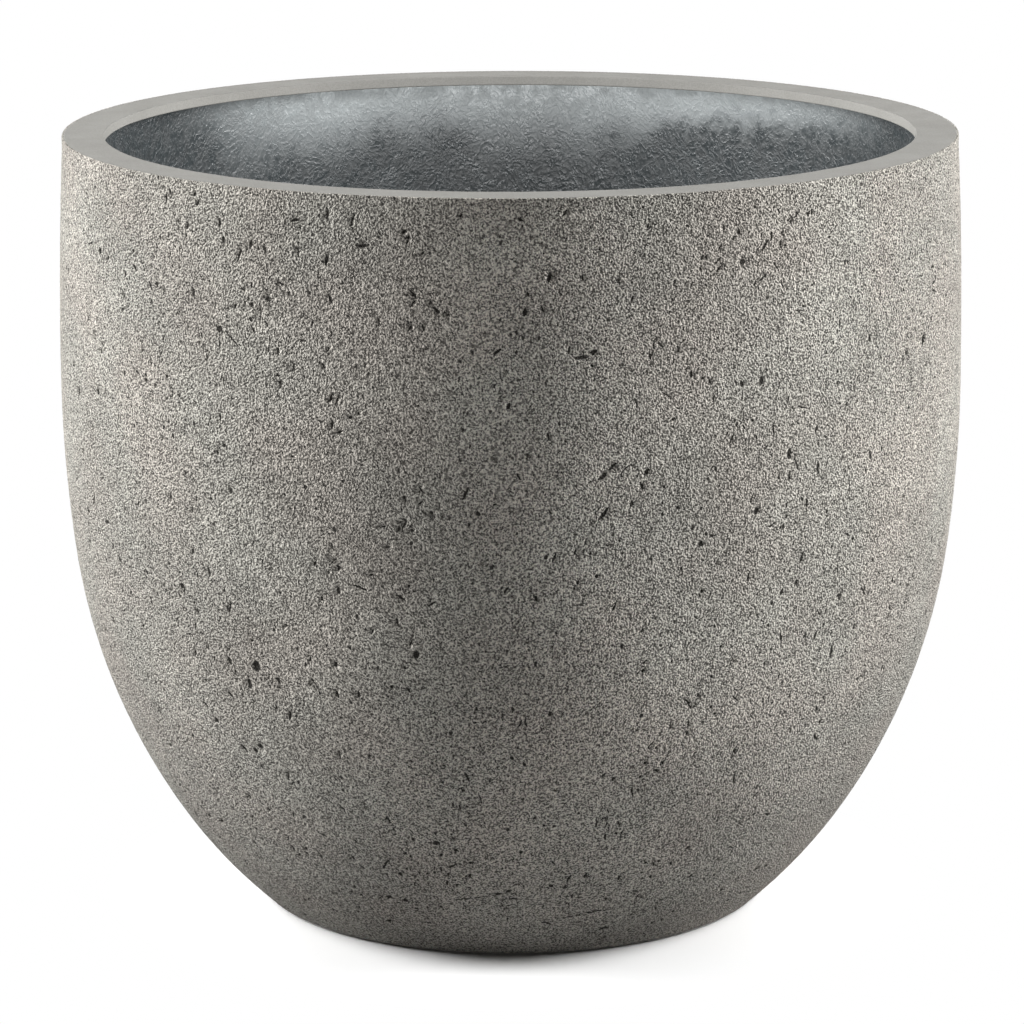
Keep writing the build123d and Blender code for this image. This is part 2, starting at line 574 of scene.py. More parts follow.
# The larger marks of the front, each as pixel column and row, lean in degrees, length and width in
# millimetres.
SEEN_PITS = (
    (389, 898, 75, 3.6, 2.2), (404, 901, -70, 4.2, 2.6), (436, 844, 80, 3.8, 2.2), (471, 864, 88, 4.2, 1.5),
    (400, 875, 10, 2.2, 1.8), (409, 870, 0, 2.4, 1.4), (457, 886, 60, 2.4, 1.3), (551, 887, 40, 2.4, 2.0),
    (389, 922, 60, 3.0, 2.0), (606, 900, 60, 2.0, 1.5), (256, 667, 8, 6.6, 3.6), (416, 655, 20, 4.2, 2.6),
    (335, 665, 10, 3.0, 2.0), (182, 588, -22, 5.2, 2.4), (790, 454, 4, 5.4, 2.2), (757, 511, 10, 4.0, 2.2),
    (701, 544, 15, 3.0, 2.0), (99, 251, 80, 3.4, 2.6), (267, 298, 20, 3.6, 2.8), (219, 329, -40, 3.4, 2.8),
    (78, 391, -12, 5.0, 2.4), (97, 392, -20, 3.6, 2.2), (839, 597, 45, 3.0, 2.4), (743, 262, 10, 2.8, 2.4),
    (782, 245, -12, 4.4, 1.8), (762, 381, 12, 5.0, 2.2), (924, 340, 16, 6.0, 2.4), (871, 338, 0, 3.4, 1.8),
    (260, 747, -20, 3.0, 2.4), (255, 751, 30, 2.6, 2.4), (216, 721, -30, 3.0, 2.0), (525, 312, 8, 4.2, 1.8),
)
SEEN_CRACKS = (
    (449, 890, -65, 5.4, 1.4), (498, 895, 80, 5.0, 1.4), (509, 892, 60, 4.0, 1.8), (516, 886, 62, 5.0, 1.0),
    (511, 900, 80, 8.0, 1.3), (546, 924, -68, 5.6, 1.2), (604, 929, 72, 6.4, 1.4), (249, 684, -8, 5.6, 1.8),
    (229, 661, -16, 4.6, 1.8), (278, 681, -25, 3.6, 1.6), (230, 695, -42, 4.8, 1.2),
    (205, 705, -45, 4.4, 1.2), (314, 684, -32, 6.8, 1.0), (290, 716, 8, 5.6, 1.2), (338, 569, 8, 3.6, 1.2),
    (338, 590, -16, 4.6, 1.2), (208, 572, -8, 6.0, 1.2), (244, 749, -38, 5.6, 1.6),
    (583, 357, 78, 9.0, 1.7), (593, 353, 65, 5.0, 2.0), (604, 475, 38, 8.0, 1.8), (612, 467, 50, 6.0, 1.4),
    (604, 514, 36, 8.6, 1.6), (632, 504, 20, 3.4, 1.6), (647, 472, 30, 4.2, 1.4), (642, 486, -25, 3.6, 1.4),
    (790, 477, 2, 5.4, 1.0), (819, 468, 0, 7.0, 1.5), (802, 558, 12, 6.0, 1.3), (797, 583, 0, 3.8, 1.3),
    (816, 636, 8, 5.2, 1.4), (832, 652, -4, 8.0, 1.4), (197, 203, 30, 3.6, 1.4), (187, 226, 10, 4.0, 1.2),
    (219, 222, -6, 5.2, 1.4), (223, 240, -14, 4.6, 1.2), (250, 245, 12, 5.0, 1.3),
    (264, 249, -30, 3.6, 1.6), (295, 220, 78, 5.4, 1.3), (193, 293, -10, 6.6, 1.2), (326, 260, 2, 5.6, 1.5),
    (330, 299, -24, 5.4, 1.2), (363, 246, 80, 5.8, 1.4), (772, 236, -6, 4.6, 1.3), (766, 245, 42, 7.6, 1.2),
    (757, 282, 34, 5.0, 1.1), (907, 352, 10, 3.6, 1.4), (497, 352, 60, 4.8, 1.3), (436, 310, -48, 5.0, 1.4),
    (280, 384, 6, 4.6, 1.4), (134, 268, -30, 3.4, 1.6), (156, 285, 4, 3.2, 1.4),
)
SEEN_HAIRLINES = (
    (470, 899, 76, 22.0, 0.9), (586, 914, 78, 27.0, 0.9), (231, 338, -52, 14.0, 0.8),
    (850, 484, -2, 11.0, 0.9), (758, 250, 40, 12.0, 0.7), (429, 923, 82, 6.0, 0.8),
    (920, 213, 44, 6.0, 0.9), (840, 322, 2, 7.0, 0.7), (762, 279, 55, 7.0, 0.7), (90, 243, 75, 9.0, 0.7),
    (625, 470, 45, 9.0, 0.8),
)


@dataclass
class MarkField:
    """Marks stamped into the rows of a turning, as values at its points.

    A point near a mark holds its place in the mark's own frame, as shares of half the length and
    half the width. These run evenly across the surface, so the shader can draw the mark crisply
    between the points. It also holds the mark's number and the square of that, whose spread over
    a face tells the shader where two marks meet.
    """

    turning: Turning
    low_row: int
    high_row: int

    margin = 2.8 * MM
    soft = 0.7 * MM
    far = 9.0
    numbers = 13

    def __post_init__(self) -> None:
        """Makes the empty arrays."""
        rows, columns = len(self.turning.section.points), self.turning.columns
        self.place = np.full((rows, columns, 3), self.far)
        self.sort = np.zeros((rows, columns, 3))
        self.carved = np.zeros((rows, columns))
        self.nearest = np.full((rows, columns), np.inf)
        self.stamped = 0

    def stamp(self, mark: Mark) -> None:
        """Stamps one mark, whose frame is turned by its lean and bent by a parabola along it."""
        along = self.turning.section.along[:-1]
        reach = math.hypot(mark.length, mark.width) + 1.5 * self.margin
        rows = np.flatnonzero(np.abs(along - mark.along) < reach)
        rows = rows[(rows >= self.low_row) & (rows < self.high_row)]
        if not len(rows):
            return
        radius = self.turning.section.points[rows[len(rows) // 2], 0]
        step = TURN / self.turning.columns
        middle = (mark.azimuth - self.turning.start) / step
        half = math.ceil(reach / (radius * step))
        steps = np.arange(math.floor(middle) - half, math.ceil(middle) + half + 1)
        across = (steps - middle) * step * radius
        up = along[rows] - mark.along
        p = np.sin(mark.lean) * across + np.cos(mark.lean) * up[:, None]
        q = np.cos(mark.lean) * across - np.sin(mark.lean) * up[:, None]
        q = q - mark.bend * (p * p - mark.length ** 2 / 3) / 2
        inside = (np.abs(p) < mark.length + self.margin) & (np.abs(q) < mark.width + self.margin)
        p_share, q_share = p / mark.length, q / mark.width
        apart = p_share ** 2 + q_share ** 2
        window = np.ix_(rows, steps % self.turning.columns)
        wins = inside & (apart < self.nearest[window])
        number = self.stamped % self.numbers + 1
        stray = np.full_like(p, MARK_STRAY[mark.kind] / mark.width)
        framed = np.stack([p_share, q_share, stray], axis=-1)
        self.place[window] = np.where(wins[..., None], framed, self.place[window])
        label = np.array([number, number ** 2, mark.kind is MarkKind.HAIRLINE], float)
        self.sort[window] = np.where(wins[..., None], label, self.sort[window])
        self.nearest[window] = np.where(wins, apart, self.nearest[window])
        depth = (1 - np.abs(p) / (mark.length + self.soft)).clip(0)
        depth = depth * (1 - np.abs(q) / (mark.width + self.soft)).clip(0)
        depth = MARK_DEPTH[mark.kind] * np.minimum(1, 2 * depth)
        self.carved[window] = np.maximum(self.carved[window], depth)
        self.stamped += 1


@dataclass
class Scatter:
    """Seeded marks all round the wall: clusters, and single ones between them."""

    seed: int = 20
    clusters: int = 110
    in_cluster: int = 7
    singles: int = 760
    cluster_width: float = 9 * MM
    cluster_height: float = 14 * MM
    length: float = 1.45 * MM
    length_spread: float = 0.42
    width: float = 0.78 * MM
    crack_share: float = 0.62
    upright_spread: float = math.radians(26)
    tossed_share: float = 0.12
    bend_spread: float = 60
    crack_size: tuple[float, float] = (1.5, 0.72)
    pit_size: tuple[float, float] = (0.85, 1.05)

    def marks(self, radius: float, low: float, high: float) -> list[Mark]:
        """Draws the marks.

        Lengths are spread log-normally, widths follow from them, and most marks stand nearly
        upright.

        Args:
            radius: radius that turns a width into an angle.
            low: lowest place up the section.
            high: highest place.

        Returns:
            The marks.
        """
        random = np.random.default_rng(self.seed)
        heart = random.uniform([0, low], [TURN, high], (self.clusters, 2))
        spread = random.normal(size=(self.clusters, self.in_cluster, 2))
        spread *= [self.cluster_width / radius, self.cluster_height]
        grouped = (heart[:, None] + spread).reshape(-1, 2)
        spots = np.concatenate([grouped, random.uniform([0, low], [TURN, high], (self.singles, 2))])
        spots[:, 1] = spots[:, 1].clip(low, high)
        count = len(spots)
        stretch = np.exp(random.normal(0, self.length_spread, count))
        slim = random.uniform(0.75, 1.3, count)
        lean = random.normal(0, self.upright_spread, count)
        tossed = random.uniform(size=count) < self.tossed_share
        lean = np.where(tossed, random.uniform(-math.pi / 2, math.pi / 2, count), lean)
        cracked = random.uniform(size=count) < self.crack_share
        bend = random.normal(0, self.bend_spread, count) * cracked
        size = np.where(cracked[:, None], self.crack_size, self.pit_size)
        return [
            Mark(
                spots[i, 0],
                spots[i, 1],
                lean[i],
                self.length * stretch[i] * size[i, 0],
                self.width * slim[i] * size[i, 1],
                MarkKind.CRACK if cracked[i] else MarkKind.PIT,
                bend[i],
            )
            for i in range(count)
        ]


# Shader nodes

Socket = bpy.types.NodeSocket
Feed = Socket | float | tuple


class Wiring:
    """A node tree under construction, with short calls for the nodes that these finishes use."""

    def __init__(self, tree: bpy.types.NodeTree) -> None:
        """Takes the tree of a material, a world or a group."""
        self.tree = tree

    def node(self, kind: str, inputs: dict[str | int, Feed] | None = None,
             **settings: object) -> bpy.types.Node:
        """Adds a node.

        Args:
            kind: Blender's name for the node.
            inputs: values or sockets by the input's name or number.
            **settings: properties of the node.

        Returns:
            The node.
        """
        made = self.tree.nodes.new(kind)
        for key, value in settings.items():
            setattr(made, key, value)
        for key, value in (inputs or {}).items():
            if isinstance(value, bpy.types.NodeSocket):
                self.tree.links.new(value, made.inputs[key])
            else:
                made.inputs[key].default_value = value
        return made

    def math(self, operation: str, *values: Feed) -> Socket:
        """Result of a Math node on one to three values."""
        return self.node("ShaderNodeMath", dict(enumerate(values)), operation=operation).outputs[0]

    def remap(self, value: Feed, low: Feed, high: Feed, to_low: Feed = 0.0, to_high: Feed = 1.0) -> Socket:
        """Eases a value from low..high to to_low..to_high."""
        given = {"Value": value, "From Min": low, "From Max": high, "To Min": to_low, "To Max": to_high}
        return self.node("ShaderNodeMapRange", given, interpolation_type="SMOOTHSTEP").outputs[0]

    def noise(self, vector: Feed, size: Feed, detail: float = 0.0, rough: float = 0.5,
              warp: float = 0.0) -> Socket:
        """Noise from 0 to 1 whose cells have this size in metres."""
        scale = self.math("DIVIDE", 1.0, size) if isinstance(size, bpy.types.NodeSocket) else 1 / size
        given = {"Vector": vector, "Scale": scale, "Detail": detail, "Roughness": rough, "Distortion": warp}
        return self.node("ShaderNodeTexNoise", given).outputs[0]

    def stretch(self, vector: Feed, by: Place, shift: Place = (0, 0, 0)) -> Socket:
        """Vector scaled along each axis, then shifted."""
        given = {"Vector": vector, "Scale": by, "Location": shift}
        return self.node("ShaderNodeMapping", given, vector_type="POINT").outputs[0]

    def mix(self, share: Feed, first: Feed, second: Feed, blend: str = "MIX") -> Socket:
        """Colour between two colours, mixed in one of Blender's ways."""
        first = (*first, 1.0) if isinstance(first, tuple) else first
        second = (*second, 1.0) if isinstance(second, tuple) else second
        given = {0: share, 6: first, 7: second}
        return self.node("ShaderNodeMix", given, data_type="RGBA", blend_type=blend).outputs[2]

    def toned(self, colour: Feed, value: Feed, low: float, high: float) -> Socket:
        """Colour made low to high times as bright by a value that runs from 0 to 1."""
        return self.mix(1.0, colour, self.grey(self.remap(value, 0.0, 1.0, low, high)), "MULTIPLY")

    def parts(self, vector: Feed) -> tuple[Socket, ...]:
        """X, Y and Z of a vector."""
        return tuple(self.node("ShaderNodeSeparateXYZ", {0: vector}).outputs)

    def pushed(self, where: Feed, push: Feed, reach: float) -> Socket:
        """Place moved by this many times a vector."""
        step = self.node("ShaderNodeVectorMath", {0: push, "Scale": reach}, operation="SCALE").outputs[0]
        return self.node("ShaderNodeVectorMath", {0: where, 1: step}, operation="ADD").outputs[0]

    def cells(self, vector: Feed, scale: Feed) -> tuple[Socket, Socket, Socket]:
        """Random cells: the distance from each one's heart, and two random values of its own."""
        given = {"Vector": vector, "Scale": scale, "Randomness": 1.0}
        made = self.node("ShaderNodeTexVoronoi", given).outputs
        drawn = self.node("ShaderNodeSeparateColor", {0: made["Color"]}).outputs
        return made["Distance"], drawn[0], drawn[1]

    def mirrored(self) -> Socket:
        """1 for rays that a surface has mirrored or let through, and 0 for all others."""
        rays = self.node("ShaderNodeLightPath").outputs
        return self.math("MAXIMUM", rays["Is Glossy Ray"], rays["Is Transmission Ray"])

    def grey(self, value: Feed) -> Socket:
        """Grey colour whose three parts are the value."""
        return self.node("ShaderNodeCombineColor", {0: value, 1: value, 2: value}).outputs[0]

    def object_place(self) -> Socket:
        """Object coordinates, which are metres in the pot's frame."""
        return self.node("ShaderNodeTexCoord").outputs["Object"]

    def group(self, tree: bpy.types.NodeTree, **inputs: Feed) -> bpy.types.Node:
        """Places a node group.

        Args:
            tree: the group's tree.
            **inputs: values or sockets by input name, with _ for a space.

        Returns:
            The group's node.
        """
        made = self.node("ShaderNodeGroup", node_tree=tree)
        for key, value in inputs.items():
            socket = made.inputs[key.replace("_", " ")]
            if isinstance(value, bpy.types.NodeSocket):
                self.tree.links.new(value, socket)
            else:
                socket.default_value = value
        return made


def new_group(name: str, inputs: dict[str, float | None],
              outputs: tuple[str, ...]) -> tuple[Wiring, bpy.types.Node]:
    """Starts a shader group.

    Args:
        name: name of the group.
        inputs: default of each number by name, or None for a vector.
        outputs: names of the values that it puts out.

    Returns:
        The group's wiring and its input node.
    """
    tree = bpy.data.node_groups.new(name, "ShaderNodeTree")
    for key, value in inputs.items():
        kind = "NodeSocketVector" if value is None else "NodeSocketFloat"
        socket = tree.interface.new_socket(key, in_out="INPUT", socket_type=kind)
        if value is not None:
            socket.default_value = value
    for key in outputs:
        tree.interface.new_socket(key, in_out="OUTPUT", socket_type="NodeSocketFloat")
    wiring = Wiring(tree)
    return wiring, wiring.node("NodeGroupInput")


def finish_group(wiring: Wiring, **values: Socket) -> bpy.types.NodeTree:
    """Joins the values to the group's outputs and returns its tree."""
    wiring.node("NodeGroupOutput", {key.replace("_", " "): value for key, value in values.items()})
    return wiring.tree


@lru_cache(maxsize=None)
def sand_grain() -> bpy.types.NodeTree:
    """Grain of etched sand: worm-like lands and hollows, with single grains of their own tone."""
    w, given = new_group("sand_grain", {"Vector": None, "Size": 1 * MM, "Edge": 0.08}, ("Tone", "Height"))
    where, size, edge = (given.outputs[key] for key in ("Vector", "Size", "Edge"))
    coarse = w.noise(where, size, detail=0.6)
    lands = w.remap(coarse, w.math("SUBTRACT", 0.5, edge), w.math("ADD", 0.5, edge))
    _, single, _ = w.cells(where, w.math("DIVIDE", 0.9, size))
    # Tone runs with Height: lighter on the lands and darker in the hollows. This is partly the grains' own
    # tone and partly painted shade in the hollows.
    tone = w.math("MULTIPLY_ADD", single, 0.42, w.math("MULTIPLY", lands, 0.58))
    swell = w.math("MULTIPLY_ADD", coarse, 2.2, -0.6)
    height = w.math("MULTIPLY_ADD", single, 0.2, w.math("MULTIPLY", swell, 0.8))
    return finish_group(w, Tone=tone, Height=height)


@lru_cache(maxsize=None)
def cast_marks() -> bpy.types.NodeTree:
    """Pits and cracks of the wall, drawn in each mark's own frame and strayed by noise."""
    w, given = new_group("cast_marks", {"Vector": None}, ("Hole", "Line"))
    where = given.outputs["Vector"]
    place, sort = (
        w.parts(w.node("ShaderNodeAttribute", attribute_name=key).outputs["Vector"])
        for key in ("mark_place", "mark_sort")
    )
    wander = w.math("SUBTRACT", w.noise(where, 2.6 * MM, detail=1.5), 0.5)
    across = w.math("MULTIPLY_ADD", w.math("MULTIPLY", wander, 2.2), place[2], place[1])
    ragged = w.math("MULTIPLY", w.math("SUBTRACT", w.noise(where, 0.9 * MM, detail=1), 0.5), 1.5)
    apart = w.math("ADD", w.math("MULTIPLY", place[0], place[0]), w.math("MULTIPLY", across, across))
    apart = w.math("ADD", apart, ragged)
    spread = w.math("SUBTRACT", sort[1], w.math("MULTIPLY", sort[0], sort[0]))
    single = w.math("LESS_THAN", w.math("ABSOLUTE", spread), 0.02)
    real = w.math("MULTIPLY", single, w.math("GREATER_THAN", sort[0], 0.5))
    hole = w.math("MULTIPLY", w.remap(apart, 1.15, 0.75), real)
    line = w.math("MULTIPLY", hole, sort[2])
    return finish_group(w, Hole=hole, Line=line)


@lru_cache(maxsize=None)
def pin_holes() -> bpy.types.NodeTree:
    """Air holes the size of a pin head: the hearts of some random cells, a little upright."""
    inputs = {"Vector": None, "Spacing": 7 * MM, "Share": 0.6, "Reach": 0.16}
    w, given = new_group("pin_holes", inputs, ("Hole",))
    where, spacing, share, reach = (given.outputs[key] for key in ("Vector", "Spacing", "Share", "Reach"))
    nudge = w.node("ShaderNodeTexNoise", {"Vector": where, "Scale": 1 / (1.6 * MM), "Detail": 0.0}).outputs[1]
    nudge = w.node("ShaderNodeVectorMath", {0: nudge, 1: (0.5, 0.5, 0.5)}, operation="SUBTRACT").outputs[0]
    where = w.stretch(w.pushed(where, nudge, 1.4 * MM), (1, 1, 0.62))
    distance, chance, spread = w.cells(where, w.math("DIVIDE", 1.0, spacing))
    there = w.math("LESS_THAN", chance, share)
    size = w.math("MULTIPLY", reach, w.math("MULTIPLY_ADD", spread, 0.8, 0.35))
    hole = w.remap(distance, size, w.math("MULTIPLY", size, 0.6))
    return finish_group(w, Hole=w.math("MULTIPLY", hole, there))


@lru_cache(maxsize=None)
def cloudy_tone() -> bpy.types.NodeTree:
    """Soft clouds of tone, and a second set of them for warmth."""
    w, given = new_group("cloudy_tone", {"Vector": None, "Size": 80 * MM}, ("Tone", "Warmth"))
    where, size = given.outputs["Vector"], given.outputs["Size"]
    tone = w.remap(w.noise(where, size, detail=2.0, rough=0.55), 0.25, 0.75)
    moved = w.stretch(where, (1, 1, 1), (0.7, 0.3, 0.9))
    warmth = w.remap(w.noise(moved, w.math("MULTIPLY", size, 0.6), detail=1.0), 0.25, 0.75)
    return finish_group(w, Tone=tone, Warmth=warmth)


@lru_cache(maxsize=None)
def brush_strokes() -> bpy.types.NodeTree:
    """Curled strands and ridges that a brush leaves in a thick coat over fibre mat."""
    w, given = new_group("brush_strokes", {"Vector": None, "Size": 6 * MM}, ("Ridge", "Sheen"))
    where, size = given.outputs["Vector"], given.outputs["Size"]
    swirl = w.node("ShaderNodeTexNoise", {"Vector": where, "Scale": 1 / (38 * MM), "Detail": 1.0}).outputs[1]
    curled = w.pushed(where, swirl, 14 * MM)
    coarse = w.noise(w.stretch(curled, (1, 1, 0.8)), size, detail=2.5)
    crest = w.math("SUBTRACT", 1.0, w.math("ABSOLUTE", w.math("MULTIPLY_ADD", coarse, 2.0, -1.0)))
    crest = w.math("POWER", crest, 5.0)
    strand = w.noise(w.stretch(curled, (1, 1, 0.6)), w.math("MULTIPLY", size, 0.4), detail=2.0)
    ridge = w.math("MULTIPLY_ADD", strand, 0.45, w.math("MULTIPLY", crest, 0.55))
    sheen = w.remap(w.noise(curled, w.math("MULTIPLY", size, 2.2), detail=2.0), 0.3, 0.7)
    return finish_group(w, Ridge=ridge, Sheen=sheen)


def new_material(name: str) -> tuple[bpy.types.Material, Wiring]:
    """Starts a material with an empty node tree and returns it with its wiring."""
    material = bpy.data.materials.new(name)
    material.use_nodes = True
    material.node_tree.nodes.clear()
    return material, Wiring(material.node_tree)


@dataclass(frozen=True)
class Finish:
    """A surface finish, which each kind of finish names and wires in its own way."""

    name: ClassVar[str]

    def wire(self, w: Wiring) -> dict[str, Feed]:
        """Wires the finish.

        Args:
            w: wiring of the material.

        Returns:
            A socket or a constant for each input of the surface shader that isn't left as it is.
        """
        raise NotImplementedError

    def material(self) -> bpy.types.Material:
        """Builds the material, whose constants go on the shader's own sockets, and returns it."""
        material, w = new_material(self.name)
        surface = w.node("ShaderNodeBsdfPrincipled", self.wire(w))
        w.node("ShaderNodeOutputMaterial", {"Surface": surface.outputs[0]})
        return material


def bumped(w: Wiring, height: Socket, distance: float) -> Socket:
    """Normal of a surface that rises by this distance where the height goes from 0 to 1."""
    given = {"Height": height, "Distance": distance, "Strength": 1.0}
    return w.node("ShaderNodeBump", given).outputs[0]


@dataclass(frozen=True)
class EtchedClay(Finish):
    """Outside of the pot: fibre clay whose skin of cement is etched away down to the sand."""

    name = "etched_clay_skin"
    # colour and hollow run from near white on the lands to near black in the hollows. This is partly the
    # sand's own tone, partly a painted highlight on the lands and painted shade in the hollows.
    colour: Colour = (0.90, 0.852, 0.782)
    hollow: Colour = (0.050, 0.046, 0.040)
    # hole: painted shade, near black, inside the pits, cracks, pin holes and specks.
    hole: Colour = (0.022, 0.020, 0.017)
    grain: float = 1.1 * MM
    relief: float = 1.4 * MM
    roughness: float = 0.88
    # Painted shade: the wall darkens towards the base and fades out at this height.
    painted_shade_height: float = 240 * MM
    painted_shade_tone: float = 0.72

    def wire(self, w: Wiring) -> dict[str, Feed]:
        """Wires the finish and returns what feeds the surface shader."""
        where = w.object_place()
        grain = w.group(sand_grain(), Vector=where, Size=self.grain).outputs
        clouds = w.group(cloudy_tone(), Vector=where, Size=95 * MM).outputs
        marks = w.group(cast_marks(), Vector=where).outputs
        pins = w.group(pin_holes(), Vector=where, Spacing=6.0 * MM, Share=0.55, Reach=0.18).outputs
        specks = w.group(pin_holes(), Vector=w.stretch(where, (1, 1, 1), (0.4, 0.2, 0.1)), Spacing=3.1 * MM,
                         Share=0.22, Reach=0.22).outputs
        # Painted highlight on the lands and painted shade in the hollows, mixed with the sand's own tone.
        colour = w.mix(grain["Tone"], self.hollow, self.colour)
        tint = w.mix(clouds["Warmth"], (0.98, 1.0, 0.985), (1.01, 0.992, 0.975))
        colour = w.mix(1.0, colour, tint, "MULTIPLY")
        colour = w.toned(colour, clouds["Tone"], 0.90, 1.08)
        # Painted shade that darkens the wall towards the base.
        painted_shade = w.grey(w.remap(w.parts(where)[2], 0.0, self.painted_shade_height, self.painted_shade_tone, 1.0))
        colour = w.mix(1.0, colour, painted_shade, "MULTIPLY")
        # Painted shade: near black in the pits and cracks, which are also carved, and in the pin holes and
        # specks, which are only bumped in.
        hole = w.math("MAXIMUM", marks["Hole"], w.math("MAXIMUM", pins["Hole"], specks["Hole"]))
        colour = w.mix(w.math("MULTIPLY", hole, 0.94), colour, self.hole)
        height = w.math("SUBTRACT", grain["Height"], w.math("MULTIPLY", hole, 0.9))
        made = {"Base Color": colour, "Normal": bumped(w, height, self.relief)}
        return {**made, "Roughness": self.roughness, "Specular IOR Level": 0.25}


@dataclass(frozen=True)
class SmoothClay(Finish):
    """Lip of the pot: the same clay, cast smooth, with a few pin holes."""

    name = "smooth_clay_lip"
    colour: Colour = (0.245, 0.240, 0.223)
    dusty: Colour = (0.31, 0.303, 0.283)
    roughness: float = 0.72

    def wire(self, w: Wiring) -> dict[str, Feed]:
        """Wires the finish and returns what feeds the surface shader."""
        where = w.object_place()
        grain = w.group(sand_grain(), Vector=where, Size=0.9 * MM).outputs
        clouds = w.group(cloudy_tone(), Vector=where, Size=45 * MM).outputs
        pins = w.group(pin_holes(), Vector=where, Spacing=11 * MM, Share=0.3, Reach=0.08).outputs
        colour = w.mix(w.math("MULTIPLY", clouds["Tone"], 0.35), self.colour, self.dusty)
        colour = w.toned(colour, grain["Tone"], 0.93, 1.06)
        # Painted shade: the pin holes, which are only bumped in, are painted dark.
        colour = w.mix(w.math("MULTIPLY", pins["Hole"], 0.6), colour, (0.09, 0.085, 0.08))
        height = w.math("SUBTRACT", w.math("MULTIPLY", grain["Height"], 0.25), pins["Hole"])
        rough = w.remap(clouds["Warmth"], 0.0, 1.0, self.roughness - 0.08, self.roughness + 0.08)
        normal = bumped(w, height, 0.25 * MM)
        return {"Base Color": colour, "Roughness": rough, "Normal": normal, "Specular IOR Level": 0.35}


@dataclass(frozen=True)
class BrushedCoat(Finish):
    """Inside of the pot: a dark satin coat brushed over fibre mat, with painted light, a pale band, just
    under the lip on the back.
    """

    name = "brushed_dark_coat"
    lip_level: float
    colour: Colour = (0.020, 0.025, 0.027)
    # pale: painted light, a band under the lip that is strongest towards one side.
    pale: Colour = (0.42, 0.452, 0.458)
    painted_light_side: Colour = (0.10, 0.99, 0.0)
    fade: float = 50 * MM
    roughness: float = 0.42

    def wire(self, w: Wiring) -> dict[str, Feed]:
        """Wires the finish and returns what feeds the surface shader."""
        where = w.object_place()
        strokes = w.group(brush_strokes(), Vector=where, Size=3.6 * MM).outputs
        clouds = w.group(cloudy_tone(), Vector=w.stretch(where, (1, 1, 0.5)), Size=110 * MM).outputs
        # Painted light: a pale band just under the lip, strongest on the back and fading with depth, stands
        # in for light falling there.
        depth = w.math("SUBTRACT", self.lip_level, w.parts(where)[2])
        ragged = w.math("MULTIPLY", w.math("SUBTRACT", strokes["Sheen"], 0.5), 12 * MM)
        reach = w.remap(clouds["Tone"], 0.15, 0.85, 0.65 * self.fade, 1.25 * self.fade)
        near = w.remap(w.math("ADD", depth, ragged), reach, 0.0)
        towards = w.node("ShaderNodeVectorMath", {0: where, 1: self.painted_light_side}, operation="DOT_PRODUCT")
        side = w.remap(towards.outputs["Value"], 0.11, 0.25, 0.0, 1.0)
        near = w.math("MULTIPLY", w.math("POWER", near, 1.2), side)
        colour = w.mix(near, self.colour, self.pale)
        # Painted sheen: the coat is painted lighter where the same noise makes it glossier.
        colour = w.toned(colour, strokes["Sheen"], 0.80, 1.22)
        # Painted highlight: the crests of the brush ridges are painted paler.
        crest = w.math("MULTIPLY", w.math("POWER", strokes["Ridge"], 3.0), 0.12)
        colour = w.mix(crest, colour, (0.42, 0.45, 0.46))
        rough = w.remap(strokes["Sheen"], 0.0, 1.0, self.roughness + 0.1, self.roughness - 0.06)
        normal = bumped(w, strokes["Ridge"], 0.5 * MM)
        return {"Base Color": colour, "Roughness": rough, "Normal": normal, "Specular IOR Level": 0.75}


@dataclass(frozen=True)
class FibreMat(Finish):
    """Laminate between skin and coat: chopped glass strands wetted with resin."""

    name = "wetted_glass_fibre"
    colour: Colour = (0.62, 0.61, 0.50)
    resin: Colour = (0.44, 0.42, 0.30)

    def wire(self, w: Wiring) -> dict[str, Feed]:
        """Wires the finish and returns what feeds the surface shader."""
        where = w.object_place()
        one = w.noise(w.stretch(where, (1, 0.15, 1)), 1.6 * MM, detail=2, warp=0.6)
        two = w.noise(w.stretch(where, (0.15, 1, 0.6)), 1.6 * MM, detail=2, warp=0.6)
        strands = w.math("MAXIMUM", one, two)
        colour = w.mix(w.remap(strands, 0.45, 0.65), self.resin, self.colour)
        return {"Base Color": colour, "Normal": bumped(w, strands, 0.4 * MM), "Roughness": 0.45}


@dataclass(frozen=True)
class Moulded(Finish):
    """Moulded drain fittings and feet: fine spark texture, dust and a little scuffing.

    Attributes:
        name: name of the material.
        colour: its own colour.
        dust: colour of the clay dust on it.
        roughness: roughness where it is clean.
        texture: height of its texture.
    """

    name: str
    colour: Colour
    dust: Colour = (0.30, 0.285, 0.26)
    roughness: float = 0.5
    texture: float = 0.08 * MM

    def wire(self, w: Wiring) -> dict[str, Feed]:
        """Wires the finish and returns what feeds the surface shader."""
        where = w.object_place()
        grain = w.group(sand_grain(), Vector=where, Size=0.45 * MM).outputs
        clouds = w.group(cloudy_tone(), Vector=where, Size=9 * MM).outputs
        dusty = w.math("MULTIPLY", w.math("POWER", clouds["Tone"], 2.0), 0.28)
        colour = w.mix(dusty, self.colour, self.dust)
        colour = w.toned(colour, grain["Tone"], 0.85, 1.15)
        rough = w.remap(clouds["Tone"], 0.0, 1.0, self.roughness - 0.06, self.roughness + 0.22)
        normal = bumped(w, grain["Height"], self.texture)
        return {"Base Color": colour, "Roughness": rough, "Normal": normal, "Specular IOR Level": 0.5}


# Sub-assemblies

